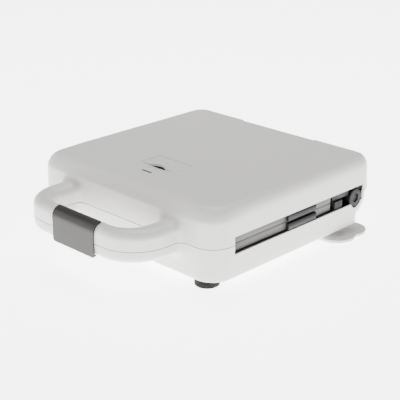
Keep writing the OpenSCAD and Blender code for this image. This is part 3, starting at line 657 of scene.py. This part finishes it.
def lid_skin():
    piece = new_field_piece("lid_skin", lid_field, (-HALF_WIDTH - 4, HANDLE_FRONT - 4, LID_RIM - 4),
                            (HALF_WIDTH + 4, REAR + 4, LID_TOP + 4))
    cut_flat(piece, LID_RIM, keep_above=True)
    thicken(piece, LID_WALL)
    cutters = mirrored(block, "gap", (HALF_WIDTH - 12, GAP_FRONT, LID_RIM - 5),
                       (HALF_WIDTH + 5, GAP_REAR, SEAM + GAP_ABOVE))
    cutters.append(prism("seat", cover_outline(0.45), 80, LID_TOP + 5))
    middle = (SLIT_LOW + SLIT_HIGH) / 2
    cutters.append(block("slit", (middle.x - 8.4, middle.y - 1.5, 80), (middle.x + 8.4, middle.y + 1.5, 110)))
    for x in (LATCH_PIVOT.x - 22, LATCH_PIVOT.x + 22):
        cutters.append(block("lug_slot", (x - 2.5, HANDLE_FRONT - 3, 40),
                             (x + 2.5, LATCH_PIVOT.y + 5.5, LATCH_PIVOT.z + 7)))
    cut_away(piece, cutters)
    soft_edges(piece, 0.25, segments=1, angle=55)
    add(piece, "lid", "white_plastic", "lid_shell")


def base_skin():
    piece = new_field_piece("base_skin", base_field, (-HALF_WIDTH - 4, HANDLE_FRONT - 4, BASE_FLOOR - 4),
                            (HALF_WIDTH + 4, REAR + 4, BASE_RIM + 4))
    cut_flat(piece, BASE_RIM, keep_above=False)
    thicken(piece, BASE_WALL)
    cutters = mirrored(block, "gap", (HALF_WIDTH - 12, GAP_FRONT, SEAM - GAP_BELOW),
                       (HALF_WIDTH + 5, GAP_REAR + 2, 60))
    cutters += mirrored(tube_x, "barrel", HALF_WIDTH - 12, HALF_WIDTH + 5, HINGE.y, HINGE.z, 12.2)
    cut_away(piece, cutters)
    soft_edges(piece, 0.25, segments=1, angle=55)
    add(piece, "base", "white_plastic", "base_shell")


# ---------------------------------------------------------------- latch

def latch_skin():
    """Strap rolled over the bar, down its front and turned in under it."""
    outer = LATCH_HIGH.z - LATCH_PIVOT.z
    wall = 1.6
    face_y = LATCH_PIVOT.y - outer
    turn_in = 1.5
    corner = 4.0
    bottom = LATCH_LOW.z
    path = [(LATCH_PIVOT.y - outer * math.sin(a), LATCH_PIVOT.z + outer * math.cos(a))
            for a in np.linspace(0, math.pi / 2, 17)]
    drop = LATCH_PIVOT.z - bottom - turn_in
    path += [(face_y, LATCH_PIVOT.z - drop * t) for t in np.linspace(0, 1, 25)[1:]]
    path += [(face_y + turn_in - turn_in * math.cos(a), bottom + turn_in - turn_in * math.sin(a))
             for a in np.linspace(0, math.pi / 2, 5)[1:]]
    path += [(face_y + turn_in + t, bottom) for t in (1.5, 3.2, 5.4)]

    centre = (LATCH_LOW.x + LATCH_HIGH.x) / 2
    half = (LATCH_HIGH.x - LATCH_LOW.x) / 2
    columns = 29
    vertices = []
    for y, z in path:
        waist = 0.9 * smoothstep(LATCH_PIVOT.z + 4, LATCH_PIVOT.z - 8, np.array(z)) \
            * smoothstep(bottom, bottom + 22, np.array(z))
        up = min(max(z - bottom, 0.0), corner)
        rounding = corner - math.sqrt(max(corner ** 2 - (corner - up) ** 2, 0.0))
        reach = half - float(waist) - rounding
        for i in range(columns):
            u = math.sin(math.pi * (i / (columns - 1) - 0.5))
            vertices.append((centre + reach * u, y, z))
    faces = [(r * columns + c, (r + 1) * columns + c, (r + 1) * columns + c + 1, r * columns + c + 1)
             for r in range(len(path) - 1) for c in range(columns - 1)]
    piece = new_piece("latch_strap", vertices, faces)
    thicken(piece, wall)
    soft_edges(piece, 0.4, segments=3, angle=50)
    return piece


def latch_lugs():
    """The two lugs that reach through the bar to the pin."""
    parts = []
    for x in (LATCH_PIVOT.x - 22, LATCH_PIVOT.x + 22):
        face = LATCH_PIVOT.y - (LATCH_HIGH.z - LATCH_PIVOT.z) + 0.8
        outline = [(face, -4), (LATCH_PIVOT.y, -4)]
        outline += [(LATCH_PIVOT.y + 4 * math.sin(a), -4 * math.cos(a))
                    for a in np.linspace(0.2, math.pi, 12)]
        outline += [(face, 0)]
        n = len(outline)
        vertices = [(side, y, LATCH_PIVOT.z + z) for side in (x - 2, x + 2) for y, z in outline]
        faces = [[i, i + n, (i + 1) % n + n, (i + 1) % n] for i in range(n)]
        faces += [list(range(n)), list(range(n, 2 * n))[::-1]]
        parts.append((vertices, faces))
    vertices = parts[0][0] + parts[1][0]
    count = len(parts[0][0])
    faces = parts[0][1] + [[i + count for i in face] for face in parts[1][1]]
    piece = new_piece("latch_lugs", vertices, faces)
    soft_edges(piece, 0.3)
    return piece


# ---------------------------------------------------------------- panel, and a lens strip painting the shade under its lip

def panel():
    """Panel over the lamps, its lip rounded and hollowed over the recess."""
    piece = prism("lamp_panel", cover_outline(0.0), 94.3, 97.0)
    for vertex in piece.data.vertices:
        x, y, z = vertex.co / MM
        inset = -float(body_plan(np.array(x), np.array(y)))
        crown = float(np.interp(inset, (25, 44, 75), (96.0, 96.6, LID_TOP)))
        vertex.co.z = (z - 97.0 + crown - 0.02) * MM
    bm = bmesh.new()
    bm.from_mesh(piece.data)
    bmesh.ops.recalc_face_normals(bm, faces=bm.faces)
    bm.to_mesh(piece.data)
    bm.free()
    soft_edges(piece, 0.55, segments=4, angle=40)
    add(piece, "lid", "cover_plastic", "indicator_cover")


def lip_shade_lens():
    """Smoked lens strip under the panel's lip. Its near-black colour is painted shade for the shadow the lip
    casts.
    """
    outline = cover_outline(-0.7)
    front = [p for p in outline if p[1] < COVER_LOW.y + 12]
    xs = [p[0] for p in front]
    outline = front + [(max(xs), COVER_LOW.y + 14), (min(xs), COVER_LOW.y + 14)]
    piece = prism("lip_shade_lens", outline, 90.0, 94.25)
    soft_edges(piece, 0.2)
    # The near-black smoked finish on this strip is painted shade for the shadow under the panel's lip.
    add(piece, "lid", "smoked_lens", "window_lens")


# ---------------------------------------------------------------- CAD nodes that stay

EDGE_WIDTHS = {
    "cord_hook_left": 1.4, "cord_hook_right": 1.4,
    "front_foot_left": 0.5, "front_foot_right": 0.5,
    "lower_plate": 0.5, "upper_plate": 0.5,
    "upper_release_clip": 0.7, "lower_release_clip": 0.7,
    "hinge_arm_left": 0.5, "hinge_arm_right": 0.5,
    "hinge_bracket_left": 0.5, "hinge_bracket_right": 0.5,
    "base_frame": 0.4, "lid_frame": 0.4,
    "slit_lens": 0.2,
}


def finish_cad_nodes():
    """Gives each CAD node its material, and softens the edges of those that can be seen."""
    slots = {part["node"]: part["material_slot"] for part in frame["record"]["subparts"]}
    for name, piece in frame["nodes"].items():
        dress(piece, slots[name])
        soft_edges(piece, EDGE_WIDTHS.get(name, 0.2), weld=True)


# ---------------------------------------------------------------- the scene

make_camera()
make_floor()
make_light()
finish_cad_nodes()
lid_skin()
base_skin()
strap, lugs = latch_skin(), latch_lugs()
add(strap, "latch", "latch_plastic", "latch")
add(lugs, "latch", "latch_plastic", "latch")
panel()
lip_shade_lens()
